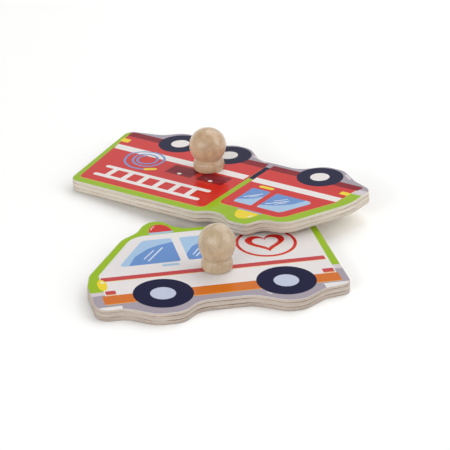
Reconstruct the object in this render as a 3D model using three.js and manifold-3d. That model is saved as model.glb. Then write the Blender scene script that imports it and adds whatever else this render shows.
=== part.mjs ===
// Two lift-out pieces of a wooden sound puzzle: an ambulance that lies flat, and a fire engine that leans
// on it. Each piece is a plywood plate with a printed sheet on its face and a turned knob, screwed on from
// behind.
// Millimetres, +Z up. The origin is on the table, under the middle of the two pieces.
import * as THREE from 'three';
import { mergeVertices } from 'three/addons/utils/BufferGeometryUtils.js';
import Module from 'manifold-3d';

// Plywood, print and glue
const outerVeneer = 0.95;
const crossband = 1.1;
const coreVeneer = 1.05;
const glueLine = 0.05;
const printSheet = 0.2;
const printMargin = 0.25; // bare wood left round the print
const arcStep = 14; // degrees of a rounded corner in one straight step
const samePoint = 1e-4; // two arcs that meet share one point

// Knob screw
const screwHead = 5.6;
const screwShank = 2.8;
const screwLength = 14;
const screwTip = 2.4;
const screwRim = 0.25;
const screwSink = 0.25; // how far the head lies below the back
const screwClearance = 0.1; // all round the screw, in the plies and in the knob
const driveSlotLength = 3;
const driveSlotWidth = 0.7;
const driveSlotDepth = 0.9;
const screwSides = 24;

// Ambulance knob
const ambulanceBallWidth = 16.9;
const ambulanceBallHeight = 18.2;
const ambulanceGrooveInset = 2.75; // from the ball's widest to the groove
const ambulanceGrooveHeight = 5.6;
const ambulanceFootWidth = 14.3;
const ambulanceFootRound = 1.05;
const ambulanceFootMiddle = 2.3;

// Fire engine knob
const fireBallWidth = 17.7;
const fireBallHeight = 17.2;
const fireGrooveInset = 3.1;
const fireGrooveHeight = 5.4;
const fireFootWidth = 15;
const fireFootRound = 0.9;
const fireFootMiddle = 2.2;

// Knob facets
const knobSides = 28;
const footSteps = 4;
const ballSteps = 11;

// Ambulance outline: x from the front axle to the back, y from the axles to the roof
const ambulanceWheelBase = 55;
const ambulanceNoseReach = 31.4;
const ambulanceNoseLean = 0.4; // its foot stands further back
const ambulanceNoseY = 13;
const ambulanceTailReach = 27.8; // past the rear axle
const ambulanceTailLean = 1.45;
const ambulanceSillDrop = 10;
const ambulanceMiddleSill = 9.8; // between the wheels
const ambulanceRearSill = 10.4; // behind the rear wheel
const ambulanceTailSill = 8;
const ambulanceFrontDrop = 18.2;
const ambulanceRearDrop = 18.1;
const ambulanceFrontMouthBefore = 18.3; // from the axle to where the bulge under a wheel starts
const ambulanceFrontFootBefore = 6.2; // from the axle to where it is lowest
const ambulanceFrontFootAfter = 5.6;
const ambulanceFrontMouthAfter = 14.2;
const ambulanceRearMouthBefore = 16.5;
const ambulanceRearFootBefore = 3.5;
const ambulanceRearFootAfter = 4.3;
const ambulanceRearMouthAfter = 15.5;
const ambulanceRoof = 60.3;
const ambulanceBeaconX = 10;
const ambulanceBeaconRise = 9.8;
const ambulanceBeaconTop = 5.9;
const ambulanceBeaconFootAfter = 9.3; // from its middle to where it starts
const ambulanceBeaconFootBefore = 10.6;
const ambulanceBeaconShoulderBefore = 6.9; // its front is fuller
const ambulanceBeaconShoulderRise = 6.2; // above the roof
const ambulanceScreenTopX = -8.6;
const ambulanceScreenTopDrop = 5.6; // below the roof
const ambulanceScreenFootX = -28.85;
const ambulanceScreenFootY = 23.4;
const ambulanceKnobX = 27.9;
const ambulanceKnobY = 18.4;

// Fire engine outline: x from the cab's axle to the tail, y from the axles to the roof
const fireWheelBase = 53.8;
const fireRearSpread = 29.3; // between the two rear axles
const fireCabReach = 29.8;
const fireTailReach = 33.3; // past the last axle
const fireTailLean = 12.6;
const fireTailRise = 0.2;
const fireCabFootY = 0.6;
const fireCabSill = 4;
const fireSillDrop = 2.5;
const fireAxleSill = 8.4; // between the two rear wheels
const fireTailSill = 4.4;
const fireWheelDrop = 11.7;
const fireCabMouthBefore = 17.5;
const fireCabFootBefore = 6.2;
const fireCabFootAfter = 4.6;
const fireCabMouthAfter = 13.4;
const fireRearMouthBefore = 17.2;
const fireRearFootBefore = 4.9;
const fireRearFootAfter = 3.7;
const fireRearMouthAfter = 9.7;
const fireLastMouthBefore = 9.7;
const fireLastFootBefore = 3.7;
const fireLastFootAfter = 6.6;
const fireLastMouthAfter = 14.4;
const fireRoof = 60.5;
const fireBodyStartX = 27.9;
const fireDipX = 18.6;
const fireDipWidth = 8;
const fireDipDrop = 4;
const fireBeaconX = 4.2;
const fireBeaconWidth = 10.2;
const fireBeaconRise = 0.5; // above the roof
const fireCabRoof = 50.5;
const fireCabRoofRise = 1.7; // up to the beacon's foot
const fireCabRoofX = -16.2;
const fireBeaconFootX = -4.6;
const fireNoseY = 18.8;
const fireKnobX = 52.4;
const fireKnobY = 17.2;

// Corner radii, from small to wide
const tightRound = 3.4;
const cornerRound = 4.6;
const roofRound = 6;
const bulgeRound = 10;
const flankRound = 11;
const noseRound = 12;
const screenRound = 24;

// How the fire engine lies: its tail edge on the table, its underside on the ambulance
const fireTurn = 130.65; // degrees, from the ambulance's length to its own
const fireTailFootX = 17.04; // the tail's lower corner, in the ambulance's frame
const fireTailFootY = 172.64;
const tableGap = 0.05;
const restGap = 0.1;

const wasm = await Module();
wasm.setup();
const upward = new THREE.Vector3(0, 0, 1);

// Closed solid for joins and cuts, from a geometry whose vertices are merged first
function toSolid(geometry) {
  const bare = geometry.clone();
  bare.deleteAttribute('normal');
  bare.deleteAttribute('uv');
  const merged = mergeVertices(bare);
  const faces = [];
  for (let i = 0; i < merged.index.count; i += 3) {
    const [a, b, c] = [0, 1, 2].map((k) => merged.index.getX(i + k));
    if (a !== b && b !== c && c !== a) faces.push(a, b, c);
  }
  const vertProperties = new Float32Array(merged.attributes.position.array);
  const triVerts = new Uint32Array(faces);
  return new wasm.Manifold(new wasm.Mesh({ numProp: 3, vertProperties, triVerts }));
}

function toGeometry(solid) {
  const { vertProperties, triVerts } = solid.getMesh();
  const geometry = new THREE.BufferGeometry();
  geometry.setAttribute('position', new THREE.BufferAttribute(vertProperties, 3));
  geometry.setIndex(new THREE.BufferAttribute(triVerts, 1));
  geometry.computeVertexNormals();
  return geometry;
}

// Outlines

const corner = (x, y, radius) => ({ at: new THREE.Vector2(x, y), radius });

// Points of a polygon with rounded corners. A corner keeps to its half of each side.
function roundedOutline(corners) {
  const points = corners.flatMap(({ at, radius }, i) => {
    const before = corners.at(i - 1).at.clone().sub(at);
    const after = corners[(i + 1) % corners.length].at.clone().sub(at);
    const half = Math.acos(before.dot(after) / before.length() / after.length()) / 2;
    const room = Math.min(before.length(), after.length()) / 2;
    const reach = Math.min(radius / Math.tan(half), room);
    const round = reach * Math.tan(half);
    const inward = before.clone().normalize().add(after.clone().normalize()).normalize();
    const centre = at.clone().addScaledVector(inward, round / Math.sin(half));
    const start = at.clone().addScaledVector(before.normalize(), reach).sub(centre);
    const turn = Math.sign(start.cross(at.clone().sub(centre))) * (Math.PI - 2 * half);
    const steps = Math.max(1, Math.ceil(Math.abs(THREE.MathUtils.radToDeg(turn)) / arcStep));
    const origin = new THREE.Vector2();
    return Array.from({ length: steps + 1 }, (_, k) =>
      start.clone().rotateAround(origin, (turn * k) / steps).add(centre));
  });
  return points.filter((point, i) => point.distanceTo(points.at(i - 1)) > samePoint);
}

// The same outline, moved in by a margin along its corners' normals
function inset(outline, margin) {
  return outline.map((point, i) => {
    const along = outline[(i + 1) % outline.length].clone().sub(outline.at(i - 1)).normalize();
    return point.clone().add(new THREE.Vector2(-along.y, along.x).multiplyScalar(margin));
  });
}

// Swelling of the lower edge under a wheel
function wheelBulge(axle, mouthBefore, footBefore, footAfter, mouthAfter, sillBefore, sillAfter, drop) {
  return [
    corner(axle - mouthBefore, -sillBefore, flankRound),
    corner(axle - footBefore, -drop, bulgeRound),
    corner(axle + footAfter, -drop, bulgeRound),
    corner(axle + mouthAfter, -sillAfter, flankRound),
  ];
}

function ambulanceOutline() {
  const tail = ambulanceWheelBase + ambulanceTailReach;
  const beaconTop = ambulanceRoof + ambulanceBeaconRise;
  return roundedOutline([
    corner(ambulanceNoseLean - ambulanceNoseReach, -ambulanceSillDrop, roofRound),
    ...wheelBulge(0, ambulanceFrontMouthBefore, ambulanceFrontFootBefore, ambulanceFrontFootAfter,
      ambulanceFrontMouthAfter, ambulanceSillDrop, ambulanceMiddleSill, ambulanceFrontDrop),
    ...wheelBulge(ambulanceWheelBase, ambulanceRearMouthBefore, ambulanceRearFootBefore,
      ambulanceRearFootAfter, ambulanceRearMouthAfter, ambulanceMiddleSill, ambulanceRearSill,
      ambulanceRearDrop),
    corner(tail, -ambulanceTailSill, cornerRound),
    corner(tail - ambulanceTailLean, ambulanceRoof, tightRound),
    corner(ambulanceBeaconX + ambulanceBeaconFootAfter, ambulanceRoof, flankRound),
    corner(ambulanceBeaconX + ambulanceBeaconTop / 2, beaconTop, roofRound),
    corner(ambulanceBeaconX - ambulanceBeaconTop / 2, beaconTop, roofRound),
    corner(ambulanceBeaconX - ambulanceBeaconShoulderBefore, ambulanceRoof + ambulanceBeaconShoulderRise,
      roofRound),
    corner(ambulanceBeaconX - ambulanceBeaconFootBefore, ambulanceRoof, flankRound),
    corner(ambulanceScreenTopX, ambulanceRoof - ambulanceScreenTopDrop, noseRound),
    corner(ambulanceScreenFootX, ambulanceScreenFootY, noseRound),
    corner(-ambulanceNoseReach, ambulanceNoseY, noseRound),
  ]);
}

const fireLastAxle = fireWheelBase + fireRearSpread;
const fireTailFoot = new THREE.Vector3(fireLastAxle + fireTailReach, -fireTailRise, 0);
const fireTailTop = new THREE.Vector3(fireTailFoot.x - fireTailLean, fireRoof, 0);

function fireEngineOutline() {
  const beaconTop = fireRoof + fireBeaconRise;
  const dip = fireRoof - fireDipDrop;
  return roundedOutline([
    corner(-fireCabReach, fireCabFootY, roofRound),
    ...wheelBulge(0, fireCabMouthBefore, fireCabFootBefore, fireCabFootAfter, fireCabMouthAfter,
      fireCabSill, fireSillDrop, fireWheelDrop),
    ...wheelBulge(fireWheelBase, fireRearMouthBefore, fireRearFootBefore, fireRearFootAfter,
      fireRearMouthAfter, fireSillDrop, fireAxleSill, fireWheelDrop),
    ...wheelBulge(fireLastAxle, fireLastMouthBefore, fireLastFootBefore, fireLastFootAfter,
      fireLastMouthAfter, fireAxleSill, fireTailSill, fireWheelDrop),
    corner(fireTailFoot.x, fireTailFoot.y, cornerRound),
    corner(fireTailTop.x, fireTailTop.y, roofRound),
    corner(fireBodyStartX, fireRoof, roofRound),
    corner(fireDipX + fireDipWidth / 2, dip, flankRound),
    corner(fireDipX - fireDipWidth / 2, dip, flankRound),
    corner(fireBeaconX + fireBeaconWidth / 2, beaconTop, roofRound),
    corner(fireBeaconX - fireBeaconWidth / 2, beaconTop, cornerRound),
    corner(fireBeaconFootX, fireCabRoof + fireCabRoofRise, roofRound),
    corner(fireCabRoofX, fireCabRoof, bulgeRound),
    corner(-fireCabReach, fireNoseY, screenRound),
  ]);
}

// Plates

function slab(outline, bottom, thickness) {
  const straight = { depth: thickness, bevelEnabled: false };
  return new THREE.ExtrudeGeometry(new THREE.Shape(outline), straight).translate(0, 0, bottom);
}

// Plies from the back up, each a glue line above the one below it
const plies = [
  { name: 'back_veneer', thickness: outerVeneer, colour: 0xd9c9ad },
  { name: 'lower_crossband', thickness: crossband, colour: 0xb79f7d },
  { name: 'core_veneer', thickness: coreVeneer, colour: 0xd9c9ad },
  { name: 'upper_crossband', thickness: crossband, colour: 0xb79f7d },
  { name: 'face_veneer', thickness: outerVeneer, colour: 0xd9c9ad },
];
const plywood = plies.reduce((sum, ply) => sum + ply.thickness + glueLine, 0);
const plateHeight = plywood + printSheet;
const knobSeat = plateHeight + glueLine;

// Turned pieces: a profile of radius and height that starts and ends on the axis

function turned(profile, sides) {
  const points = profile.map(([radius, height]) => new THREE.Vector2(radius, height));
  return new THREE.LatheGeometry(points, sides).rotateX(Math.PI / 2);
}

function screwProfile(grow) {
  const head = screwHead / 2 + grow;
  const shank = screwShank / 2 + grow;
  const neck = screwSink + screwRim + (screwHead - screwShank) / 2;
  const tip = screwSink + screwLength + grow;
  const start = grow > 0 ? -grow : screwSink;
  return [
    [0, start],
    [head, start],
    [head, screwSink + screwRim],
    [shank, neck],
    [shank, tip - screwTip],
    [0, tip],
  ];
}

function screwGeometry() {
  const slot = (alongX, alongY) => toSolid(new THREE.BoxGeometry(alongX, alongY, 2 * driveSlotDepth)
    .translate(0, 0, screwSink));
  const body = toSolid(turned(screwProfile(0), screwSides));
  const crossed = slot(driveSlotLength, driveSlotWidth).add(slot(driveSlotWidth, driveSlotLength));
  return toGeometry(body.subtract(crossed));
}

// Quarter of an oval between two points of a profile, level at the first or at the last
function ovalQuarter(from, to, steps, swellFirst) {
  return Array.from({ length: steps }, (_, k) => {
    const angle = ((k + 1) / steps) * (Math.PI / 2);
    const out = swellFirst ? Math.sin(angle) : 1 - Math.cos(angle);
    const up = swellFirst ? 1 - Math.cos(angle) : Math.sin(angle);
    return [from[0] + (to[0] - from[0]) * out, from[1] + (to[1] - from[1]) * up];
  });
}

function knobGeometry(knob) {
  const { ballWidth, ballHeight, grooveInset, grooveHeight, footWidth, footRound, footMiddle } = knob;
  const ball = ballWidth / 2;
  const semi = ballHeight / 2;
  const groove = ball - grooveInset;
  const seat = [footWidth / 2 - footRound, 0];
  const widest = [footWidth / 2, footMiddle];
  const waist = [groove, grooveHeight];
  const lowest = Math.PI - Math.asin(groove / ball);
  const ballMiddle = grooveHeight - semi * Math.cos(lowest);
  const ballPoints = Array.from({ length: ballSteps }, (_, k) => {
    const angle = lowest * (1 - (k + 1) / ballSteps);
    return [ball * Math.sin(angle), ballMiddle + semi * Math.cos(angle)];
  });
  ballPoints.at(-1)[0] = 0;
  const outside = turned([
    [0, 0],
    seat,
    ...ovalQuarter(seat, widest, footSteps, true),
    ...ovalQuarter(widest, waist, footSteps, false),
    ...ballPoints,
  ], knobSides);
  const pilot = turned(screwProfile(screwClearance), screwSides).translate(0, 0, -knobSeat);
  return toGeometry(toSolid(outside).subtract(toSolid(pilot)));
}

// One vehicle: plies, print, knob and screw, with its back on the plane z = 0

function addPart(group, name, geometry, colour, roughness, metalness = 0) {
  const material = new THREE.MeshStandardMaterial({ color: colour, roughness, metalness });
  const mesh = new THREE.Mesh(geometry, material);
  mesh.name = name;
  group.add(mesh);
  return mesh;
}

function buildVehicle({ name, outline, printColour, knobX, knobY, knob }) {
  const vehicle = new THREE.Group();
  vehicle.name = name;
  const drill = toSolid(turned(screwProfile(screwClearance), screwSides).translate(knobX, knobY, 0));
  const drilled = (geometry) => toGeometry(toSolid(geometry).subtract(drill));
  let bottom = 0;
  for (const ply of plies) {
    const sheet = drilled(slab(outline, bottom, ply.thickness));
    addPart(vehicle, `${name}_${ply.name}`, sheet, ply.colour, 0.75);
    bottom += ply.thickness + glueLine;
  }
  const print = drilled(slab(inset(outline, printMargin), bottom, printSheet));
  addPart(vehicle, `${name}_print`, print, printColour, 0.3);
  addPart(vehicle, `${name}_knob`, knobGeometry(knob), 0xcdb48d, 0.5).position.set(knobX, knobY, knobSeat);
  const screw = addPart(vehicle, `${name}_knob_screw`, screwGeometry(), 0xb8b6ae, 0.35, 0.9);
  screw.position.set(knobX, knobY, 0);
  return vehicle;
}

const ambulance = buildVehicle({
  name: 'ambulance',
  outline: ambulanceOutline(),
  printColour: 0xf1efec,
  knobX: ambulanceKnobX,
  knobY: ambulanceKnobY,
  knob: {
    ballWidth: ambulanceBallWidth,
    ballHeight: ambulanceBallHeight,
    grooveInset: ambulanceGrooveInset,
    grooveHeight: ambulanceGrooveHeight,
    footWidth: ambulanceFootWidth,
    footRound: ambulanceFootRound,
    footMiddle: ambulanceFootMiddle,
  },
});

const fireEngine = buildVehicle({
  name: 'fire_engine',
  outline: fireEngineOutline(),
  printColour: 0xc62a2f,
  knobX: fireKnobX,
  knobY: fireKnobY,
  knob: {
    ballWidth: fireBallWidth,
    ballHeight: fireBallHeight,
    grooveInset: fireGrooveInset,
    grooveHeight: fireGrooveHeight,
    footWidth: fireFootWidth,
    footRound: fireFootRound,
    footMiddle: fireFootMiddle,
  },
});

// Lean of the fire engine: the tail edge stays on the table, and the underside clears the ambulance by the
// rest gap where the two outlines cross nearest to that edge

const turn = THREE.MathUtils.degToRad(fireTurn);
const tailFootPlace = new THREE.Vector3(fireTailFootX, fireTailFootY, tableGap);
const tailEdge = fireTailTop.clone().sub(fireTailFoot).applyAxisAngle(upward, turn).normalize();
const uphill = upward.clone().cross(tailEdge).normalize();

function leanAngle() {
  const flat = slab(fireEngineOutline(), 0, plywood);
  flat.translate(-fireTailFoot.x, -fireTailFoot.y, 0).rotateZ(turn);
  flat.translate(tailFootPlace.x, tailFootPlace.y, 0);
  const shared = toSolid(flat).intersect(toSolid(slab(ambulanceOutline(), 0, plywood)));
  const points = toGeometry(shared).attributes.position;
  const reaches = Array.from({ length: points.count }, (_, i) =>
    new THREE.Vector3().fromBufferAttribute(points, i).sub(tailFootPlace).setZ(0).dot(uphill));
  return Math.atan((plateHeight + restGap - tableGap) / Math.min(...reaches));
}

fireEngine.position.copy(fireTailFoot).negate();
const turning = new THREE.Group();
turning.rotation.z = turn;
turning.add(fireEngine);
const leaning = new THREE.Group();
leaning.position.copy(tailFootPlace);
leaning.quaternion.setFromAxisAngle(tailEdge, leanAngle());
leaning.add(turning);

// The set, with its origin under its middle
const set = new THREE.Group();
set.name = 'sound_puzzle_pieces';
set.add(ambulance, leaning);
set.updateMatrixWorld(true);
const box = new THREE.Box3().setFromObject(set, true);
const middle = box.getCenter(new THREE.Vector3());
set.position.set(-middle.x, -middle.y, -box.min.z);
set.updateMatrixWorld(true);

export default set;
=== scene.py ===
import math
import bpy
import bmesh
import numpy as np
from mathutils import Matrix, Vector
from mathutils.geometry import delaunay_2d_cdt, tessellate_polygon


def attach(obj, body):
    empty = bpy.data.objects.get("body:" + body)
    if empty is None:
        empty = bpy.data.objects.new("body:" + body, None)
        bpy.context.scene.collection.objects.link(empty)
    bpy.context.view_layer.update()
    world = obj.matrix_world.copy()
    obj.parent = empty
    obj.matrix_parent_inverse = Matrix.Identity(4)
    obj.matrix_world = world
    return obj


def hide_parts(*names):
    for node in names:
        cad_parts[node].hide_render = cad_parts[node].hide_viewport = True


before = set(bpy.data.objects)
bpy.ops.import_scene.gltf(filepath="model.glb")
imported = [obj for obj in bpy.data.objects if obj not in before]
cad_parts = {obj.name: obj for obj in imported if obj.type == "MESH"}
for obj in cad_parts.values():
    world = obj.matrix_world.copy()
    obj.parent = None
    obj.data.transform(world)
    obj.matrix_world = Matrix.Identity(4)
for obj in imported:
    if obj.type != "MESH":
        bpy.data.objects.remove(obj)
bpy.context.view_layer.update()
mm = 0.001
print("frame loaded:", len(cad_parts), "solids")

labels = {"ambulance": "ambulance", "fire_engine": "fireEngine"}  # a body, and how its pieces are named

# the fire engine stands on its tail's lower corner, turned, and leans about its tail edge
fireEnginePose = {
    "corner": (-22.438, 96.213, 0.05),  # where that corner is over the table
    "heading": 130.65,
    "lean": 3.7734,
    "tailEdge": (-12.6, 60.7, 0),  # direction of the edge on the plate
    "plateCorner": (116.4, -0.2, 0),
}

# x runs from a vehicle's front to its rear, y from its wheels to its roof, z up from its plate's underside
places = {
    "ambulance": Matrix.Translation((-39.478, -76.427, 0)),
    "fire_engine": (
        Matrix.Translation(fireEnginePose["corner"])
        @ Matrix.Rotation(math.radians(fireEnginePose["heading"]), 4, "Z")
        @ Matrix.Rotation(math.radians(fireEnginePose["lean"]), 4, Vector(fireEnginePose["tailEdge"]))
        @ Matrix.Translation(-Vector(fireEnginePose["plateCorner"]))
    ),
}


def seat(vehicle, offset=(0, 0, 0)):
    place = places[vehicle].copy()
    place.translation = place @ Vector(offset)
    place.translation *= mm
    return place


# flat shapes, in millimetres

nearlyStraight = 1.55  # a corner whose half angle is past this, in radians, stays sharp
samePoint = 0.0001


def circle(x, y, rx, ry=None, tilt=0, sides=64, sweep=360):
    ry = rx if ry is None else ry
    c, s = math.cos(math.radians(tilt)), math.sin(math.radians(tilt))
    count = sides if sweep == 360 else sides + 1
    points = []
    for k in range(count):
        a = math.radians(sweep * k / sides)
        u, v = rx * math.cos(a), ry * math.sin(a)
        points.append((x + u * c - v * s, y + u * s + v * c))
    return points


def rounded(corners, step=6):
    # each corner is x, y and radius; a corner keeps to its half of each side; step is in degrees
    points = []
    for i, (x, y, radius) in enumerate(corners):
        at = Vector((x, y))
        before = Vector(corners[i - 1][:2]) - at
        after = Vector(corners[(i + 1) % len(corners)][:2]) - at
        half = before.angle(after) / 2
        if radius <= 0 or half > nearlyStraight:
            points.append((x, y))
            continue
        reach = min(radius / math.tan(half), min(before.length, after.length) / 2)
        arc = reach * math.tan(half)
        centre = at + (before.normalized() + after.normalized()).normalized() * (arc / math.sin(half))
        first = at + before.normalized() * reach - centre
        last = at + after.normalized() * reach - centre
        turn = math.atan2(first.x * last.y - first.y * last.x, first.dot(last))
        steps = max(1, math.ceil(abs(math.degrees(turn)) / step))
        for k in range(steps + 1):
            spoke = first.copy()
            spoke.rotate(Matrix.Rotation(turn * k / steps, 2))
            points.append((centre.x + spoke.x, centre.y + spoke.y))
    # arcs that meet share a point
    return [p for i, p in enumerate(points) if math.dist(p, points[i - 1]) > samePoint]


def panel(x0, y0, x1, y1, radius):
    return rounded([(x0, y0, radius), (x1, y0, radius), (x1, y1, radius), (x0, y1, radius)], step=15)


def roundEnd(at, start, steps=6):
    # half a turn about the end of a stroke, without its two ends
    points = []
    for k in range(1, steps):
        spoke = start - at
        spoke.rotate(Matrix.Rotation(-math.pi * k / steps, 2))
        points.append(at + spoke)
    return points


def stroke(path, width):
    # band of even width along a path, with round ends
    path = [Vector(p) for p in path]
    left, right = [], []
    for i, p in enumerate(path):
        along = (path[min(i + 1, len(path) - 1)] - path[max(i - 1, 0)]).normalized()
        side = Vector((-along.y, along.x)) * (width / 2)
        left.append(p + side)
        right.append(p - side)
    ring = left + roundEnd(path[-1], left[-1]) + right[::-1] + roundEnd(path[0], right[0])
    return [(p.x, p.y) for p in ring]


def grown(points, by):
    # moves an outline out along its own normals; minus moves it in
    ring = [Vector(p) for p in points]
    out = []
    for i, p in enumerate(ring):
        along = (ring[(i + 1) % len(ring)] - ring[i - 1]).normalized()
        out.append((p.x + along.y * by, p.y - along.x * by))
    return out


# outlines of the two plates: corner x, y and radius, counter-clockwise from the front of the lower edge
plates = {
    "ambulance": rounded([
        (-31, -10, 6),
        (-18.3, -10, 11), (-6.2, -18.2, 10), (5.6, -18.2, 10), (14.2, -9.8, 11),
        (38.5, -9.8, 11), (51.5, -18.1, 10), (59.3, -18.1, 10), (70.5, -10.4, 11),
        (82.8, -8, 4.6), (81.35, 60.3, 3.4),
        (19.3, 60.3, 11), (12.95, 70.1, 6), (7.05, 70.1, 6), (3.1, 66.5, 6), (-0.6, 60.3, 11),
        (-8.6, 54.7, 12), (-28.85, 23.4, 12), (-31.4, 13, 12),
    ]),
    "fire_engine": rounded([
        (-29.8, 0.6, 6),
        (-17.5, -4, 11), (-6.2, -11.7, 10), (4.6, -11.7, 10), (13.4, -2.5, 11),
        (36.6, -2.5, 11), (48.9, -11.7, 10), (57.5, -11.7, 10), (63.5, -8.4, 11),
        (73.4, -8.4, 11), (79.4, -11.7, 10), (89.7, -11.7, 10), (97.5, -4.4, 11),
        (116.4, -0.2, 4.6), (103.8, 60.5, 6),
        (27.9, 60.5, 6), (22.6, 56.5, 11), (14.6, 56.5, 11),
        (9.3, 61, 6), (-0.9, 61, 4.6), (-4.6, 52.2, 6), (-16.2, 50.5, 10),
        (-29.8, 18.8, 24),
    ]),
}
plySheet = {
    "plies": [
        ("back_veneer", 0.95), ("lower_crossband", 1.1), ("core_veneer", 1.05),
        ("upper_crossband", 1.1), ("face_veneer", 0.95),
    ],
    "glue": 0.05,
    "backEase": 0.5,  # rounding of the lower edge
    "backSteps": 3,
    "faceEase": 0.14,  # and of the upper one
    "faceSteps": 2,
    "crease": 40,  # degrees; a sharper edge shows as one
    "print": 0.2,
    "printMargin": 0.25,
}
printBottom = sum(thickness + plySheet["glue"] for _, thickness in plySheet["plies"])
knobSeat = printBottom + plySheet["print"] + plySheet["glue"]
knobPlaces = {"ambulance": (27.9, 18.4), "fire_engine": (52.4, 17.2)}
screwHole = {
    "head": 2.9, "shank": 1.5, "print": 1.6,  # radii
    "rim": 0.5, "neck": 1.9,  # heights where the countersink starts and ends
    "sides": 32, "printSides": 24,
}


# small helpers for shader nodes

def linear(r, g, b):
    # from the numbers of a colour picker, 0 to 255
    def one(v):
        v /= 255
        return v / 12.92 if v <= 0.04045 else ((v + 0.055) / 1.055) ** 2.4
    return (one(r), one(g), one(b), 1.0)


def makeGroup(name, inputs):
    # every effect takes a spot on the piece, and puts out colour, roughness and height
    group = bpy.data.node_groups.new(name, "ShaderNodeTree")
    for label, kind in {"Spot": "Vector", **inputs}.items():
        group.interface.new_socket(name=label, in_out="INPUT", socket_type=f"NodeSocket{kind}")
    for label, kind in {"Color": "Color", "Roughness": "Float", "Height": "Float"}.items():
        group.interface.new_socket(name=label, in_out="OUTPUT", socket_type=f"NodeSocket{kind}")
    return group, group.nodes.new("NodeGroupInput").outputs, group.nodes.new("NodeGroupOutput").inputs


def addNode(tree, kind, values=None, **settings):
    node = tree.nodes.new(kind)
    for key, value in settings.items():
        setattr(node, key, value)
    for key, value in (values or {}).items():
        node.inputs[key].default_value = value
    return node


def feed(tree, socket, value):
    # a plain number or colour is set, anything else is linked
    if isinstance(value, (int, float, tuple)):
        socket.default_value = value
    else:
        tree.links.new(value, socket)


def noise(tree, spot, stretch, detail, rough):
    mapping = addNode(tree, "ShaderNodeMapping", {"Scale": stretch})
    tree.links.new(spot, mapping.inputs["Vector"])
    node = addNode(tree, "ShaderNodeTexNoise", {"Scale": 1.0, "Detail": detail, "Roughness": rough})
    tree.links.new(mapping.outputs["Vector"], node.inputs["Vector"])
    return node.outputs["Fac"]


def remap(tree, value, low, high, toLow=0.0, toHigh=1.0):
    ends = {"From Min": low, "From Max": high, "To Min": toLow, "To Max": toHigh}
    node = addNode(tree, "ShaderNodeMapRange", ends, clamp=True)
    tree.links.new(value, node.inputs["Value"])
    return node.outputs["Result"]


def maths(tree, operation, a, b=0.0):
    node = addNode(tree, "ShaderNodeMath", operation=operation)
    feed(tree, node.inputs[0], a)
    feed(tree, node.inputs[1], b)
    return node.outputs[0]


def total(tree, values):
    first, *others = values
    for value in others:
        first = maths(tree, "ADD", first, value)
    return first


def blended(tree, factor, a, b, mode="MIX"):
    node = addNode(tree, "ShaderNodeMix", data_type="RGBA", blend_type=mode)
    for place, value in ((0, factor), (6, a), (7, b)):  # the colour sockets of a mix node
        feed(tree, node.inputs[place], value)
    return node.outputs[2]


def addRelief(tree, height, look, shader):
    bump = addNode(tree, "ShaderNodeBump", {"Strength": look["bump"], "Distance": look["bumpDistance"]})
    tree.links.new(height, bump.inputs["Height"])
    tree.links.new(bump.outputs["Normal"], shader.inputs["Normal"])


# grain: each row has the stretch, detail and roughness of a noise, its useful span, and what that becomes

def grainRow(tree, spot, stretch, detail, rough, span, becomes):
    return remap(tree, noise(tree, spot, stretch, detail, rough), *span, *becomes)


def grainRows(tree, spot, rows):
    return {name: grainRow(tree, spot, *row) for name, row in rows.items()}


def woodOut(group, into, out, tones, roughness):
    # the darker the wood, the rougher and lower it is
    tone = maths(group, "MINIMUM", total(group, tones), 1.0)
    group.links.new(blended(group, tone, into["Wood"], into["Dark"]), out["Color"])
    group.links.new(remap(group, tone, 0.0, 1.0, *roughness), out["Roughness"])
    group.links.new(maths(group, "SUBTRACT", 1.0, tone), out["Height"])


# ply edge: streaks along the sheet, short dark dashes of end grain, a dark line of glue between plies, and
# on the back veneer a dark line of painted shade along the plate's lower edge
plyGrain = {
    "rows": {
        "streak": ((60, 60, 2600), 3.0, 0.6, (0.35, 0.7), (0.0, 0.28)),
        "cloud": ((70, 70, 300), 2.0, 0.5, (0.4, 0.75), (0.0, 0.16)),
        "speckle": ((1500, 1500, 1800), 2.0, 0.6, (0.45, 0.7), (0.0, 0.14)),
        "dash": ((330, 330, 4200), 2.0, 0.5, (0.6, 0.74), (0.0, 1.0)),
        "wander": ((90, 90, 90), 1.0, 0.5, (0.3, 0.7), (-0.12, 0.12)),  # of the dark line, in millimetres: glue between plies, and painted shade at the back veneer's underside
        "patches": ((45, 45, 45), 2.0, 0.5, (0.38, 0.62), (0.5, 1.0)),
    },
    "lineDepth": 0.8,
    "roughness": (0.62, 0.82),
}


def buildPlyGrain():
    group, into, out = makeGroup("plyGrain", {
        "Wood": "Color", "Dark": "Color", "Line Height": "Float", "Line Width": "Float", "Dashes": "Float",
    })
    rows = grainRows(group, into["Spot"], plyGrain["rows"])
    split = addNode(group, "ShaderNodeSeparateXYZ")
    group.links.new(into["Spot"], split.inputs[0])
    height = maths(group, "MULTIPLY", split.outputs["Z"], 1 / mm)
    height = maths(group, "ADD", height, rows["wander"])
    away = maths(group, "ABSOLUTE", maths(group, "SUBTRACT", into["Line Height"], height))
    away = maths(group, "DIVIDE", away, into["Line Width"])
    line = remap(group, away, 0.0, 1.0, plyGrain["lineDepth"], 0.0)
    line = maths(group, "MULTIPLY", line, rows["patches"])
    dashes = maths(group, "MULTIPLY", rows["dash"], into["Dashes"])
    tones = [rows["streak"], rows["cloud"], line, rows["speckle"], dashes]
    woodOut(group, into, out, tones, plyGrain["roughness"])
    return group


# bare back of a plate: long grain with soft growth bands and fine dark pores, sanded flat
faceGrain = {
    "sway": ((12, 24, 24), 0.0, 0.5, (0.3, 0.7), (-0.005, 0.005)),  # of the grain, in metres
    "rows": {
        "bands": ((6, 190, 30), 3.0, 0.6, (0.36, 0.68), (0.0, 0.5)),
        "fibre": ((40, 1500, 60), 3.0, 0.6, (0.4, 0.7), (0.0, 0.3)),
        "pores": ((260, 5200, 200), 1.0, 0.5, (0.62, 0.74), (0.0, 0.5)),
    },
    "roughness": (0.55, 0.75),
}


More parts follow.
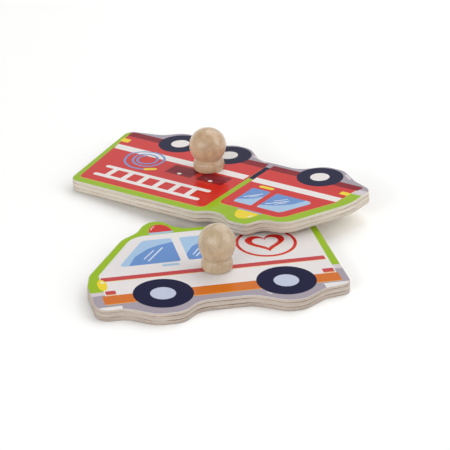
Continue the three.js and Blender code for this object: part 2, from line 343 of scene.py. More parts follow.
def buildFaceGrain():
    group, into, out = makeGroup("faceGrain", {"Wood": "Color", "Dark": "Color"})
    shift = addNode(group, "ShaderNodeCombineXYZ")
    group.links.new(grainRow(group, into["Spot"], *faceGrain["sway"]), shift.inputs["Y"])
    bent = addNode(group, "ShaderNodeVectorMath", operation="ADD")
    group.links.new(into["Spot"], bent.inputs[0])
    group.links.new(shift.outputs["Vector"], bent.inputs[1])
    rows = grainRows(group, bent.outputs["Vector"], faceGrain["rows"])
    woodOut(group, into, out, rows.values(), faceGrain["roughness"])
    return group


# turned wood: soft growth bands, short flecks and fine pores that run along the knob's axis
knobGrain = {
    "rows": {
        "bands": ((420, 240, 110), 3.0, 0.55, (0.38, 0.66), (0.0, 0.24)),
        "fleck": ((1900, 1900, 1000), 2.0, 0.6, (0.42, 0.68), (0.0, 0.34)),
        "cloud": ((170, 170, 140), 2.0, 0.5, (0.48, 0.7), (0.0, 0.3)),
        "pores": ((3600, 3600, 1800), 1.0, 0.5, (0.6, 0.74), (0.0, 0.35)),
    },
    "roughness": (0.36, 0.55),
}


def buildKnobGrain():
    group, into, out = makeGroup("knobGrain", {"Wood": "Color", "Dark": "Color", "Turn": "Float"})
    turned = addNode(group, "ShaderNodeVectorRotate", rotation_type="Z_AXIS")
    group.links.new(into["Spot"], turned.inputs["Vector"])
    group.links.new(into["Turn"], turned.inputs["Angle"])
    rows = grainRows(group, turned.outputs["Vector"], knobGrain["rows"])
    woodOut(group, into, out, rows.values(), knobGrain["roughness"])
    return group


# lacquered print: faint mottling of the ink, and a lacquer that isn't quite level
printCoat = {
    "fine": ((900, 900, 900), 3.0, 0.6),  # stretch, detail and roughness
    "wide": ((60, 60, 60), 2.0, 0.5),
    "waves": ((260, 260, 260), 2.0, 0.5),  # of the lacquer
    "fineShare": 0.7,
    "wideShare": 0.3,
    "span": (0.3, 0.7),
    "darkest": (0.55, 0.55, 0.55, 1.0),
    "roughness": (0.06, 0.11),
}


def buildPrintCoat():
    group, into, out = makeGroup("printCoat", {"Ink": "Color", "Mottle": "Float"})
    fine = noise(group, into["Spot"], *printCoat["fine"])
    wide = noise(group, into["Spot"], *printCoat["wide"])
    waves = noise(group, into["Spot"], *printCoat["waves"])
    tone = total(group, [
        maths(group, "MULTIPLY", fine, printCoat["fineShare"]),
        maths(group, "MULTIPLY", wide, printCoat["wideShare"]),
    ])
    shade = maths(group, "MULTIPLY", remap(group, tone, *printCoat["span"]), into["Mottle"])
    dark = blended(group, 1.0, into["Ink"], printCoat["darkest"], "MULTIPLY")
    group.links.new(blended(group, shade, into["Ink"], dark), out["Color"])
    group.links.new(remap(group, wide, *printCoat["span"], *printCoat["roughness"]), out["Roughness"])
    group.links.new(waves, out["Height"])
    return group


effects = {
    "ply": buildPlyGrain(), "face": buildFaceGrain(), "knob": buildKnobGrain(), "print": buildPrintCoat(),
}


def surface(name, effect, place, values, look):
    # one material: its effect group feeds the shader, and even numbers are set on the shader itself
    material = bpy.data.materials.new(name)
    material.use_nodes = True
    tree = material.node_tree
    shader = tree.nodes["Principled BSDF"]
    part = addNode(tree, "ShaderNodeGroup", values, node_tree=effects[effect])
    ownAxes = {"Location": place.translation, "Rotation": place.to_euler()}
    spot = addNode(tree, "ShaderNodeMapping", ownAxes, vector_type="TEXTURE")
    tree.links.new(addNode(tree, "ShaderNodeTexCoord").outputs["Object"], spot.inputs["Vector"])
    tree.links.new(spot.outputs["Vector"], part.inputs["Spot"])
    tree.links.new(part.outputs["Color"], shader.inputs["Base Color"])
    tree.links.new(part.outputs["Roughness"], shader.inputs["Roughness"])
    addRelief(tree, part.outputs["Height"], look, shader)
    for key, value in look["shader"].items():
        shader.inputs[key].default_value = value
    material.diffuse_color = values["Ink"] if "Ink" in values else values["Wood"]
    return material


def addPiece(mesh, vehicle, place, node, materials):
    mesh.transform(place)
    mesh.update()
    piece = bpy.data.objects.new(mesh.name, mesh)
    bpy.context.scene.collection.objects.link(piece)
    for material in materials:
        mesh.materials.append(material)
    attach(piece, vehicle)
    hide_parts(node)


# plywood

noLine = -9  # a height that no ply reaches
plyWood = {
    "tint": {"ambulance": (0.82, 0.82, 0.88), "fire_engine": (1.0, 1.06, 1.12)},  # the ambulance's edges darker, the fire engine's paler and cooler
    "glue": {"ambulance": 0.78, "fire_engine": 1.15},  # how pale the dark lines are: the glue lines, and the painted shade at the back veneer's underside
    "palest": 0.95,
    # the back veneer's dark line sits at the plate's underside: painted shade along the lower edge
    "back_veneer": {
        "wood": (212, 197, 180), "dark": (132, 106, 82), "line": 0.0, "width": 0.45, "dashes": 0.2,
    },
    "lower_crossband": {
        "wood": (214, 200, 182), "dark": (128, 100, 74), "line": 1.1, "width": 0.38, "dashes": 0.6,
    },
    "core_veneer": {
        "wood": (221, 208, 191), "dark": (146, 120, 94), "line": noLine, "width": 0.3, "dashes": 0.2,
    },
    "upper_crossband": {
        "wood": (214, 200, 182), "dark": (130, 102, 76), "line": 1.1, "width": 0.36, "dashes": 0.6,
    },
    "face_veneer": {
        "wood": (220, 207, 190), "dark": (148, 122, 96), "line": noLine, "width": 0.3, "dashes": 0.15,
    },
    "edgeLook": {"bump": 0.35, "bumpDistance": 0.00006, "shader": {"Specular IOR Level": 0.3}},
    "bare": {"wood": (224, 208, 182), "dark": (184, 156, 122)},  # the side underneath
    "bareLook": {"bump": 0.3, "bumpDistance": 0.00005, "shader": {"Specular IOR Level": 0.35}},
    "bareFacing": -0.99,  # faces that look straight down
}


def tinted(colour, tint):
    return tuple(min(plyWood["palest"], c * t) for c, t in zip(linear(*colour), (*tint, 1.0)))


def holeRadius(z):
    if z <= screwHole["rim"]:
        return screwHole["head"]
    share = min(1.0, (z - screwHole["rim"]) / (screwHole["neck"] - screwHole["rim"]))
    return screwHole["head"] + (screwHole["shank"] - screwHole["head"]) * share


def easedEdge(ease, steps):
    # how far in from the side, and how far short of the face, each level of a rounded edge is
    if not ease:
        return [(0, 0)]
    turns = [math.radians(90 * k / steps) for k in range(steps + 1)]
    return [(ease * (1 - math.cos(a)), ease * (1 - math.sin(a))) for a in turns]


def wallFaces(start, levels, count):
    faces = []
    for k in range(levels - 1):
        low = start + k * count
        high = low + count
        for i in range(count):
            j = (i + 1) % count
            faces.append((low + i, low + j, high + j, high + i))
    return faces


def flatFaces(verts, outer, inner, up):
    # the flat side of a plate, between its outline and its hole
    loops = [[Vector((*verts[i][:2], 0)) for i in ring] for ring in (outer, inner)]
    names = [*outer, *inner]
    faces = []
    for tri in tessellate_polygon(loops):
        a, b, c = (names[t] for t in tri)
        (ax, ay, _), (bx, by, _), (cx, cy, _) = verts[a], verts[b], verts[c]
        isUp = (bx - ax) * (cy - ay) - (by - ay) * (cx - ax) > 0
        faces.append((a, b, c) if isUp == up else (a, c, b))
    return faces


def plateMesh(name, outline, hole, bottom, top, easeBottom, easeTop):
    below = reversed(easedEdge(easeBottom, plySheet["backSteps"]))
    above = easedEdge(easeTop, plySheet["faceSteps"])
    levels = [(inset, bottom + rise) for inset, rise in below]
    levels += [(inset, top - drop) for inset, drop in above]
    kinks = sorted({bottom, top, *(z for z in (screwHole["rim"], screwHole["neck"]) if bottom < z < top)})
    count, sides = len(outline), screwHole["sides"]
    verts = []
    for inset, z in levels:
        verts += [(x, y, z) for x, y in grown(outline, -inset)]
    outer = [range(k * count, (k + 1) * count) for k in range(len(levels))]
    holeStart = len(verts)
    for z in kinks:
        verts += [(x, y, z) for x, y in circle(*hole, holeRadius(z), sides=sides)]
    inner = [range(holeStart + k * sides, holeStart + (k + 1) * sides) for k in range(len(kinks))]
    faces = wallFaces(0, len(levels), count)
    faces += [(b, a, d, c) for a, b, c, d in wallFaces(holeStart, len(kinks), sides)]  # facing inwards
    faces += flatFaces(verts, outer[0], inner[0], False)
    faces += flatFaces(verts, outer[-1], inner[-1], True)
    mesh = bpy.data.meshes.new(name)
    mesh.from_pydata([tuple(v * mm for v in p) for p in verts], [], faces)
    mesh.update()
    isBare = [int(face.normal.z < plyWood["bareFacing"]) for face in mesh.polygons]
    mesh.polygons.foreach_set("material_index", isBare)
    mesh.shade_smooth()
    mesh.set_sharp_from_angle(angle=math.radians(plySheet["crease"]))
    return mesh


def buildPlates(vehicle, label):
    z = 0.0
    place = seat(vehicle)
    tint = plyWood["tint"][vehicle]
    lineTint = [t * plyWood["glue"][vehicle] for t in tint]
    bareWood = {
        "Wood": tinted(plyWood["bare"]["wood"], tint),
        "Dark": tinted(plyWood["bare"]["dark"], tint),
    }
    bare = surface(f"{label}BareBack", "face", place, bareWood, plyWood["bareLook"])
    for node, thickness in plySheet["plies"]:
        wood = plyWood[node]
        name = label + node.title().replace("_", "")
        edgeWood = {
            "Wood": tinted(wood["wood"], tint),
            "Dark": tinted(wood["dark"], lineTint),
            "Line Height": z + wood["line"],
            "Line Width": wood["width"],
            "Dashes": wood["dashes"],
        }
        edge = surface(f"{name}Wood", "ply", place, edgeWood, plyWood["edgeLook"])
        easeBottom = plySheet["backEase"] if node == "back_veneer" else 0
        easeTop = plySheet["faceEase"] if node == "face_veneer" else 0
        mesh = plateMesh(name, plates[vehicle], knobPlaces[vehicle], z, z + thickness, easeBottom, easeTop)
        addPiece(mesh, vehicle, place, f"{vehicle}_{node}", [edge, bare])
        z += thickness + plySheet["glue"]
    print(label, "plates:", len(plySheet["plies"]), "plies up to", round(z, 2), "mm")


for vehicle, label in labels.items():
    buildPlates(vehicle, label)


# printed faces: flat areas of ink, the later ones on top

inks = {
    "grass": (150, 185, 10), "ground": (163, 153, 163), "kerb": (211, 201, 205),
    "paper": (230, 225, 224), "white": (235, 230, 227),
    "signalRed": (206, 16, 8), "bandRed": (196, 54, 60), "shadeRed": (133, 4, 28),
    "redShine": (232, 196, 196), "tyre": (14, 15, 56), "hub": (192, 199, 220),
    "sill": (211, 107, 4), "lamp": (238, 211, 0), "spot": (238, 226, 190),
    "glass": (163, 195, 226), "deepGlass": (97, 142, 204), "glint": (222, 230, 242),
    "hose": (104, 146, 204), "strip": (168, 160, 180), "fringe": (232, 176, 70),
}


def heart(x, y, width, sides=72):
    # the usual heart curve, 32 units wide, lifted by 2.5 units so that it sits about its middle
    unit = width / 32
    points = []
    for k in range(sides):
        t = 2 * math.pi * k / sides
        u = 16 * math.sin(t) ** 3
        v = 13 * math.cos(t) - 5 * math.cos(2 * t) - 2 * math.cos(3 * t) - math.cos(4 * t)
        points.append((x + u * unit, y + (v + 2.5) * unit))
    return points


def window(pane, deep, glints):
    # pale pane, its deeper lower part, and thin strokes of shine
    areas = [("glass", pane), ("deepGlass", deep)]
    return areas + [("glint", stroke([start, end], width)) for start, end, width in glints]


def fringed(ink, shape, shift=(-0.1, 0.3)):
    # a pale rim where the yellow ink stands out from under another
    return [("fringe", [(x + shift[0], y + shift[1]) for x, y in shape]), (ink, shape)]


def ambulanceArt():
    emblem = 55  # x of the ring on the side
    wheels = (0, 55.2)
    side = rounded([(-25.2, 2, 0), (78.6, 2, 0), (78.2, 57, 1.2), (-3.1, 56.8, 12), (-24.8, 22.2, 4)])
    art = [
        ("kerb", [(-40, 6.8), (-24, 6.8), (-24, -20), (-40, -20)]),
        ("ground", [(-40, 2.8), (-25, 4), (100, 5), (100, -30), (-40, -30)]),
        ("kerb", [(77, 10.3), (100, 10.3), (100, 6.4), (77, 6.4)]),
        ("ground", [(77, 6.4), (100, 6.4), (100, 0), (77, 0)]),
        ("paper", side),
        ("paper", [(-29.4, -7.3), (-19.6, -7), (-19.6, -9.8), (-29.4, -9.8)]),
        ("paper", [(70.4, -6.1), (84, -6.1), (84, -12), (70.7, -12)]),
        ("paper", stroke([(44.3, -8.8), (45.9, -10.6)], 0.6)),
        ("fringe", panel(-26.4, -5.1, 79, -3.5, 0.5)),
        ("sill", panel(-26.6, -4.7, 79.2, 3, 1.0)),
    ]
    art += window(
        rounded([(-14.5, 28.5, 1.4), (13.8, 28.7, 1.2), (13.8, 51.8, 1.2), (0.3, 51.9, 4)]),
        rounded([(-9.9, 28.6, 0.4), (13.8, 28.7, 1.2), (13.8, 48, 0.6),
                 (7, 46.1, 6), (1.6, 43.5, 6), (-5.6, 37, 6)]),
        [((-1.9, 34), (3.7, 41.3), 0.55), ((-0.4, 31.7), (8.1, 43.2), 0.65)],
    )
    art += window(
        panel(17.4, 28.9, 38, 51.6, 1.2),
        rounded([(17.4, 34.6, 0.6), (17.4, 28.9, 1.2), (38, 28.9, 1.2),
                 (38, 49.4, 0.6), (29, 47.2, 6), (21.4, 41.6, 6)]),
        [((20.4, 33.8), (24.4, 39.6), 0.55), ((21.5, 32), (28.4, 41.4), 0.65)],
    )
    art += [
        ("glass", stroke([(5.5, 26.05), (11.7, 26.05)], 2.0)),
        ("fringe", panel(-24.4, 16.0, 77.3, 19.4, 0.2)),
        ("bandRed", panel(-24.4, 16.4, 77.2, 19.9, 0.2)),
        ("lamp", circle(-24.7, 13.2, 2.1, 5.2)),
        ("spot", circle(-24.3, 15.7, 0.9, 1.1, sides=24)),
        ("fringe", panel(-24.5, 3.4, -20.2, 5, 0.3)),
        ("bandRed", panel(-24.6, 4, -20, 7.3, 0.3)),
        ("fringe", panel(73.1, 3.4, 78, 5, 0.3)),
        ("bandRed", panel(73, 4, 78.1, 7.5, 0.3)),
        ("fringe", circle(emblem, 37.7, 14)),
        ("signalRed", circle(emblem, 38, 14)),
        ("paper", circle(emblem, 38, 12.5)),
        ("fringe", heart(emblem, 36.9, 18.2)),
        ("signalRed", heart(emblem, 37.2, 18.2)),
        ("paper", heart(emblem, 37.5, 12)),
        ("glass", panel(4.9, 57.3, 16.1, 59.1, 0.3)),
        ("signalRed", circle(10.5, 59, 5.3, 7.6, sweep=180, sides=32)),
        ("redShine", stroke([(6.5, 61.8), (7.2, 63.5), (8.5, 65.0)], 0.55)),
    ]
    for x in wheels:
        art += [("tyre", circle(x, 0.3, 13.35)), ("hub", circle(x - 0.1, 0.25, 5.65))]
    return art


def smooth(points, steps=8):
    # soft curve through every point
    knots = [Vector(p) for p in (points[0], *points, points[-1])]
    path = []
    for a, b, c, d in zip(knots, knots[1:], knots[2:], knots[3:]):
        for k in range(steps):
            t = k / steps
            path.append(0.5 * (2 * b + (c - a) * t + (2 * a - 5 * b + 4 * c - d) * t ** 2
                               + (3 * b - 3 * c + d - a) * t ** 3))
    return path + [knots[-1]]


# hose: from its nozzle inwards in two and a half turns
hosePath = [
    (79.4, 33.4), (84, 34.4), (88.6, 33.8), (94.4, 29.8), (97, 23), (95, 18.6), (92, 16.4),
    (86.6, 15.1), (81.4, 16.4), (77.8, 19.6), (76.9, 24.4), (78.4, 28.2), (81.6, 30.4), (86.7, 30.4),
    (91, 27.8), (92.9, 22.8), (91.4, 19.6), (88.4, 18.2), (84.6, 18.2), (81.2, 20.4), (80, 24.6),
    (82.2, 27.4), (86.2, 28.2), (89.2, 26.4), (90.4, 23), (88.8, 20),
]


def fireEngineArt():
    wheels = ((-0.2, 11.25), (53.5, 11.4), (83.1, 11))  # x and half width
    # x of each rung of the ladder, at its top and at its foot
    rungs = ((42.9, 43.5), (52.6, 52.9), (62.25, 62.45), (71.65, 72.0), (81.2, 81.5), (90.9, 91.05))
    rungHalf, rungFoot, rungTop = 1.5, 39, 49
    cab = rounded([
        (-23.6, 2, 0.3), (26.6, 2, 0.8), (24.8, 47, 3.2),
        (-10.8, 47.1, 6.5), (-14.3, 39, 6), (-23.3, 20, 2),
    ])
    body = rounded([(29.6, 2, 0.8), (113.4, 1.2, 1.2), (101.7, 55.5, 2.6), (27.4, 55.2, 3)])
    cabSill = rounded([(-25.4, 0.1, 1.4), (26.7, -0.2, 0.8), (26.5, 4.75, 0.3), (-24.4, 4.75, 0.3)])
    bodySill = rounded([(29.8, -0.5, 0.8), (113.8, -0.5, 1.4), (112.6, 4.7, 0.3), (29.5, 4.7, 0.3)])
    art = [
        ("ground", [(-40, -30), (140, -30), (140, 0.4), (113.2, 1.0), (100, 3), (-23, 3), (-40, 8.2)]),
        ("kerb", [(-40, 8.6), (-23.2, 8.6), (-23.2, 3.4), (-40, 3.4)]),
        ("kerb", stroke([(33, -1.9), (42, -5)], 1.6)),
        ("kerb", stroke([(-14, -4.8), (-10, -7.6)], 1.4)),
        ("tyre", [(26.4, 3), (29.7, 3), (28.7, 17.6), (25.8, 17.6)]),
        *fringed("signalRed", cab),
        *fringed("signalRed", body),
        ("shadeRed", cabSill),
        ("shadeRed", bodySill),
        ("white", [(-23.1, 15.1), (25.8, 15.1), (25.5, 19.95), (-23, 19.95)]),
        ("white", [(30.2, 14.95), (110.4, 14.95), (108.9, 20), (30, 20)]),
        ("lamp", panel(-23.7, 8.5, -18.8, 11.7, 0.5)),
        ("lamp", rounded([(107.7, 7.8, 0.5), (112.8, 7.8, 0.5), (112, 11.6, 0.5), (107.1, 11.6, 0.5)])),
        ("lamp", stroke([(11.6, 22.45), (17.6, 22.45)], 2.3)),
        ("strip", panel(-0.5, 46.9, 12.9, 48.4, 0.3)),
        ("lamp", circle(6.05, 48.3, 5.75, 7.9, sweep=180, sides=32)),
        ("spot", circle(2.6, 52.3, 0.7, 1.4, tilt=-25, sides=20)),
        ("shadeRed", panel(35.2, 21.6, 50.4, 30.95, 0.5)),
        ("shadeRed", panel(53.5, 21.6, 68.95, 30.95, 0.5)),
        ("tyre", stroke([(35.4, 27), (50.2, 27)], 0.35)),
        ("tyre", stroke([(53.7, 27), (68.8, 27)], 0.35)),
        ("white", circle(42.8, 29.2, 1.15, 0.95, sides=24)),
        ("white", circle(61.2, 29.3, 1.15, 0.95, sides=24)),
        ("white", stroke([(35.8, 48.8), (96.8, 48.8)], 2.6)),
        ("white", stroke([(36.4, 39), (97, 39)], 2.6)),
    ]
    for top, foot in rungs:
        art.append(("white", [
            (foot - rungHalf, rungFoot), (foot + rungHalf, rungFoot),
            (top + rungHalf, rungTop), (top - rungHalf, rungTop),
        ]))
    art += window(
        rounded([(-14.8, 25.5, 2.2), (6.6, 25.5, 1.0), (6.3, 42.3, 1.0), (-7, 42.3, 3)]),
        rounded([(-10, 25.5, 0.3), (6.6, 25.5, 1.0), (6.35, 39.8, 0.3), (-1.4, 36.6, 6), (-7.2, 31.6, 5)]),
        [((-3.4, 29.8), (4.4, 37.4), 0.7), ((-3.4, 31.9), (0.4, 35.8), 0.55),
         ((-1.7, 28.6), (2.8, 33), 0.55)],
    )
    art += window(
        rounded([(10.1, 25.5, 1.0), (20.4, 25.5, 1.0), (19.7, 42.3, 1.4), (9.3, 42.3, 1.0)]),
        rounded([(10.1, 25.5, 1.0), (20.4, 25.5, 1.0), (19.95, 39.6, 0.3),
                 (13.3, 35.8, 5), (9.95, 31.4, 0.3)]),
        [((12.2, 29.2), (18, 35.8), 0.7), ((12.4, 31.6), (15.4, 34.9), 0.55)],
    )
    art += [("hose", stroke(smooth(hosePath), 1.1)), ("lamp", stroke([(75.1, 30.8), (78.7, 33.0)], 2.4))]
    for x, halfWidth in wheels:
        art += [("tyre", circle(x, 0, halfWidth, 10.6)), ("white", circle(x + 0.1, 0, 4.6, 4.5))]
    return art


def inside(points, polygon):
    # even-odd test of many points against one outline
    px, py = points[:, 0], points[:, 1]
    hit = np.zeros(len(points), bool)
    ring = np.array(polygon)
    for (x0, y0), (x1, y1) in zip(ring, np.roll(ring, -1, axis=0)):
        if y0 != y1:
            crosses = (y0 > py) != (y1 > py)
            hit ^= crosses & (px < x0 + (py - y0) * (x1 - x0) / (y1 - y0))
    return hit


def cutInks(outline, holeRing, areas):
    # triangles cut along the outline of every area; each takes the ink of the last area that it lies in
    points, edges = [], []
    for ring in [ring for _, ring in areas] + [holeRing]:
        start = len(points)
        points += [Vector(p) for p in ring]
        edges += [(start + i, start + (i + 1) % len(ring)) for i in range(len(ring))]
    flat, _, tris, _, _, _ = delaunay_2d_cdt(points, edges, [], 0, samePoint)
    flat = np.array([(p.x, p.y) for p in flat])
    tris = np.array([t for t in tris if len(t) == 3])
    a, b, c = (flat[tris[:, k]] for k in range(3))
    turn = (b[:, 0] - a[:, 0]) * (c[:, 1] - a[:, 1]) - (b[:, 1] - a[:, 1]) * (c[:, 0] - a[:, 0])
    tris[turn < 0] = tris[turn < 0][:, ::-1]
    middle = (a + b + c) / 3
    order = sorted({ink for ink, _ in areas})
    marks = np.full(len(tris), -1)
    for ink, ring in areas:
        marks[inside(middle, ring)] = order.index(ink)
    keep = inside(middle, outline) & ~inside(middle, holeRing)
    return flat, tris[keep], marks[keep], order


def printMesh(name, outline, hole, art):
    holeRing = circle(*hole, screwHole["print"], sides=screwHole["printSides"])
    flat, tris, marks, order = cutInks(outline, holeRing, [("grass", outline)] + art)
    used = np.unique(tris)
    index = np.full(len(flat), -1)
    index[used] = np.arange(len(used))
    verts = [(x * mm, y * mm, plySheet["print"] * mm) for x, y in flat[used]]
    faces = [tuple(int(index[i]) for i in t) for t in tris]
    marks = [int(k) for k in marks]
    edges = [(f[i], f[(i + 1) % 3]) for f in faces for i in range(3)]
    shared = set(edges)
    lower = {}
    for i, j in edges:
        if (j, i) in shared:
            continue
        for v in (i, j):  # the sheet's own edge goes down to the wood
            if v not in lower:
                lower[v] = len(verts)
                verts.append((verts[v][0], verts[v][1], 0.0))
        faces.append((j, i, lower[i], lower[j]))
        marks.append(len(order))
    mesh = bpy.data.meshes.new(name)
    mesh.from_pydata(verts, [], faces)
    mesh.polygons.foreach_set("material_index", marks)
    mesh.update()
    return mesh, order


inkLook = {
    "mottle": 0.12,
    "bump": 0.05,
    "bumpDistance": 0.00002,
    "ior": 1.5,
    "gloss": 0.5,
    "dullInks": {"tyre": 0.12, "shadeRed": 0.2, "grass": 0.28},  # gloss of the inks that shine less
}
inkMaterials = {}


def inkMaterial(ink):
    if ink not in inkMaterials:
        values = {"Ink": linear(*inks[ink]), "Mottle": inkLook["mottle"]}
        gloss = inkLook["dullInks"].get(ink, inkLook["gloss"])
        look = {**inkLook, "shader": {"IOR": inkLook["ior"], "Specular IOR Level": gloss}}
        inkMaterials[ink] = surface(f"{ink}Ink", "print", Matrix(), values, look)
    return inkMaterials[ink]


def buildPrint(vehicle, label, art):
    outline = grown(plates[vehicle], -plySheet["printMargin"])
    mesh, order = printMesh(f"{label}Print", outline, knobPlaces[vehicle], art)
    materials = [inkMaterial(ink) for ink in order] + [inkMaterial("paper")]
    place = seat(vehicle, (0, 0, printBottom))
    addPiece(mesh, vehicle, place, f"{vehicle}_print", materials)
    print(label, "print:", len(mesh.polygons), "areas in", len(order), "inks")


for vehicle, art in (("ambulance", ambulanceArt()), ("fire_engine", fireEngineArt())):
    buildPrint(vehicle, labels[vehicle], art)


# turned knobs: a ball on a rounded foot, with a groove between them

knobs = {
    "ambulance": {
        "ballWidth": 16.9, "ballHeight": 18.2,
        "grooveInset": 2.75, "grooveHeight": 5.6, "grooveSoft": 0.35,
        "footWidth": 14.3, "footRound": 1.05, "footMiddle": 2.3,
        "wood": (201, 180, 149), "dark": (164, 138, 105), "turn": 0.6,
    },
    "fire_engine": {
        "ballWidth": 17.7, "ballHeight": 17.2,
        "grooveInset": 3.1, "grooveHeight": 5.4, "grooveSoft": 1.1,
        "footWidth": 15, "footRound": 0.9, "footMiddle": 2.2,
        "wood": (208, 180, 145), "dark": (154, 118, 88), "turn": 2.2,
    },
}
knobForm = {"sides": 72, "footSteps": 10, "ballSteps": 32, "grooveSteps": 6, "crease": 50}
knobLook = {
    "bump": 0.25,
    "bumpDistance": 0.00008,
    "shader": {
        "Specular IOR Level": 0.45, "Diffuse Roughness": 0.6,
        "Coat Weight": 0.6, "Coat IOR": 1.6, "Coat Roughness": 0.1,
    },
}


def knobProfile(knob):
    # radius and height, from the middle of the underside to the top
    ball, semi = knob["ballWidth"] / 2, knob["ballHeight"] / 2
    groove, grooveHeight = ball - knob["grooveInset"], knob["grooveHeight"]
    foot, footRound, footMiddle = knob["footWidth"] / 2, knob["footRound"], knob["footMiddle"]
    lowest = math.pi - math.asin(groove / ball)
    middle = grooveHeight - semi * math.cos(lowest)
    footSteps, ballSteps = knobForm["footSteps"], knobForm["ballSteps"]
    quarter = [math.pi / 2 * i / footSteps for i in range(1, footSteps + 1)]
    profile = [(0.0, 0.0), (foot - footRound, 0.0)]
    for a in quarter:
        profile.append((foot - footRound + footRound * math.sin(a), footMiddle * (1 - math.cos(a))))
    for a in quarter:
        rise = (grooveHeight - footMiddle) * math.sin(a)
        profile.append((foot + (groove - foot) * (1 - math.cos(a)), footMiddle + rise))
    for i in range(1, ballSteps):
        a = lowest * (1 - i / ballSteps)
        profile.append((ball * math.sin(a), middle + semi * math.cos(a)))
    profile.append((0.0, middle + semi))
    return softened(profile, Vector((groove, grooveHeight)), knob["grooveSoft"])


def softened(profile, valley, reach):
    # a small bend in place of the sharp bottom of the groove
    cut = [i for i, p in enumerate(profile) if (Vector(p) - valley).length < reach and p[0] > 0]
    low, high = Vector(profile[cut[0] - 1]), Vector(profile[cut[-1] + 1])
    bend = []
    for k in range(1, knobForm["grooveSteps"]):
        t = k / knobForm["grooveSteps"]
        p = low.lerp(valley, t).lerp(valley.lerp(high, t), t)
        bend.append((p.x, p.y))
    return profile[:cut[0]] + bend + profile[cut[-1] + 1:]


def knobMesh(name, profile):
    sides = knobForm["sides"]
    work = bmesh.new()
    rings = []
    for r, z in profile:
        ring = circle(0, 0, r, sides=sides) if r else [(0, 0)]
        rings.append([work.verts.new((x * mm, y * mm, z * mm)) for x, y in ring])
    for low, high in zip(rings, rings[1:]):
        for i in range(sides):
            j = (i + 1) % sides
            if len(low) == 1:
                work.faces.new((low[0], high[j], high[i]))
            elif len(high) == 1:
                work.faces.new((low[i], low[j], high[0]))
            else:
                work.faces.new((low[i], low[j], high[j], high[i]))
    mesh = bpy.data.meshes.new(name)
    work.to_mesh(mesh)
    work.free()
    mesh.shade_smooth()
    mesh.set_sharp_from_angle(angle=math.radians(knobForm["crease"]))
    return mesh


def buildKnob(vehicle, label):
    knob = knobs[vehicle]
    mesh = knobMesh(f"{label}Knob", knobProfile(knob))
    place = seat(vehicle, (*knobPlaces[vehicle], knobSeat))
    values = {"Wood": linear(*knob["wood"]), "Dark": linear(*knob["dark"]), "Turn": knob["turn"]}
    material = surface(f"{label}KnobWood", "knob", place, values, knobLook)
    addPiece(mesh, vehicle, place, f"{vehicle}_knob", [material])
    print(label, "knob:", len(mesh.polygons), "faces")


for vehicle, label in labels.items():
    buildKnob(vehicle, label)


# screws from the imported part: plated steel with fine turning marks

screwLook = {
    "marks": ((2400, 2400, 9000), 3.0, 0.6),  # stretch, detail and roughness of the noise
    "span": (0.3, 0.7),
    "dark": (188, 186, 178),
    "pale": (222, 220, 214),
    "roughness": (0.28, 0.48),
    "bump": 0.2,
    "bumpDistance": 0.00003,
}


def buildScrewSteel():
    material = bpy.data.materials.new("screwSteel")
    material.use_nodes = True
    tree = material.node_tree
    shader = tree.nodes["Principled BSDF"]
    shader.inputs["Metallic"].default_value = 1.0
    marks = noise(tree, addNode(tree, "ShaderNodeTexCoord").outputs["Object"], *screwLook["marks"])
    steel = blended(tree, marks, linear(*screwLook["dark"]), linear(*screwLook["pale"]))
    tree.links.new(steel, shader.inputs["Base Color"])
    rough = remap(tree, marks, *screwLook["span"], *screwLook["roughness"])
    tree.links.new(rough, shader.inputs["Roughness"])
    addRelief(tree, marks, screwLook, shader)
    return material


screwSteel = buildScrewSteel()
for vehicle in labels:
    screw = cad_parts[f"{vehicle}_knob_screw"]
    screw.data.materials.clear()
    screw.data.materials.append(screwSteel)
print("screws: plated steel on", len(labels), "nodes")


# table, light and camera

studio = {
    "table": {
        "colour": (254, 254, 253), "roughness": 0.8, "gloss": 0.1,
        "half": 4.0, "level": -0.00002,  # metres
    },
    "sky": {
        "height": (0.1, 0.55), "glow": (0.9, 0.2),  # strong near the horizon, weak overhead
        "wall": 0.14, "wallAt": (0.22, 0.975, 0.0),  # a pale wall behind the pieces
        "wallSpan": (0.3, 0.7), "wallTop": (0.5, 0.8),
    },
    "lamps": {
        "topSoftbox": {"at": (0.6, 0.6, 1.2), "size": 1.6, "power": 12.4},
        "frontSoftbox": {"at": (-0.9, -1.3, 1.0), "size": 1.6, "power": 8.2},
        "sidePanel": {"at": (1.4, -0.6, 0.9), "size": 1.6, "power": 12.0},
        "leftPanel": {"at": (-1.05, -0.55, 0.5), "size": 0.8, "power": 3.0},
        "sparkLamp": {"at": (-0.69, -0.86, 0.49), "size": 0.07, "power": 1.3},
    },
}
lens = {
    "eye": (-215.7, -981.18, 496.2), "target": (3.79, -5.99, 0),  # in the photograph's place
    "focal": 192.0, "sensor": 36.0, "near": 0.05, "far": 20.0,
}


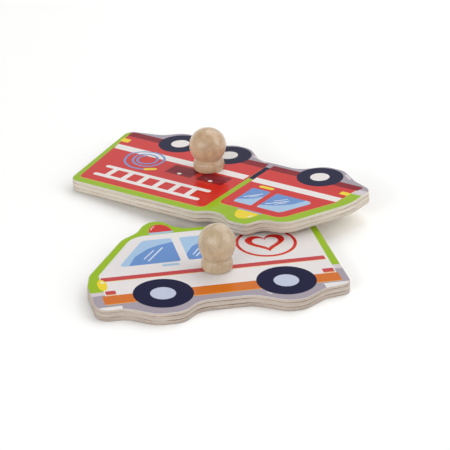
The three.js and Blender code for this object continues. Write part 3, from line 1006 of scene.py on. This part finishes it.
def buildTable():
    look = studio["table"]
    half, level = look["half"], look["level"]
    corners = [(-half, -half, level), (half, -half, level), (half, half, level), (-half, half, level)]
    mesh = bpy.data.meshes.new("table")
    mesh.from_pydata(corners, [], [(0, 1, 2, 3)])
    table = bpy.data.objects.new("table", mesh)
    bpy.context.scene.collection.objects.link(table)
    material = bpy.data.materials.new("tablePaint")
    material.use_nodes = True
    shader = material.node_tree.nodes["Principled BSDF"]
    shader.inputs["Base Color"].default_value = linear(*look["colour"])
    shader.inputs["Roughness"].default_value = look["roughness"]
    shader.inputs["Specular IOR Level"].default_value = look["gloss"]
    mesh.materials.append(material)


def buildSky():
    sky = studio["sky"]
    world = bpy.data.worlds.new("studioSky")
    bpy.context.scene.world = world
    world.use_nodes = True
    tree = world.node_tree
    heading = addNode(tree, "ShaderNodeTexCoord").outputs["Generated"]
    split = addNode(tree, "ShaderNodeSeparateXYZ")
    tree.links.new(heading, split.inputs[0])
    glow = remap(tree, split.outputs["Z"], *sky["height"], *sky["glow"])
    behind = addNode(tree, "ShaderNodeVectorMath", {1: sky["wallAt"]}, operation="DOT_PRODUCT")
    tree.links.new(heading, behind.inputs[0])
    across = remap(tree, behind.outputs["Value"], *sky["wallSpan"])
    upwards = remap(tree, split.outputs["Z"], *sky["wallTop"], sky["wall"], 0.0)
    strength = maths(tree, "ADD", glow, maths(tree, "MULTIPLY", across, upwards))
    background = tree.nodes["Background"]
    background.inputs["Color"].default_value = (1.0, 1.0, 1.0, 1.0)
    tree.links.new(strength, background.inputs["Strength"])
    bpy.context.scene.view_settings.view_transform = "Standard"


def addAimed(name, data, at, target):
    thing = bpy.data.objects.new(name, data)
    bpy.context.scene.collection.objects.link(thing)
    thing.location = at
    thing.rotation_mode = "QUATERNION"
    thing.rotation_quaternion = (target - at).to_track_quat("-Z", "Y")
    return thing


def buildLamps():
    for name, lamp in studio["lamps"].items():
        light = bpy.data.lights.new(name, "AREA")
        light.shape = "DISK"
        light.size = lamp["size"]
        light.energy = lamp["power"]
        addAimed(name, light, Vector(lamp["at"]), Vector())


def buildCamera():
    data = bpy.data.cameras.new("photoCamera")
    data.sensor_width = lens["sensor"]
    data.lens = lens["focal"]
    data.clip_start, data.clip_end = lens["near"], lens["far"]
    camera = addAimed("photoCamera", data, Vector(lens["eye"]) * mm, Vector(lens["target"]) * mm)
    bpy.context.scene.camera = camera


buildTable()
buildSky()
buildLamps()
buildCamera()
print("studio and camera ready")
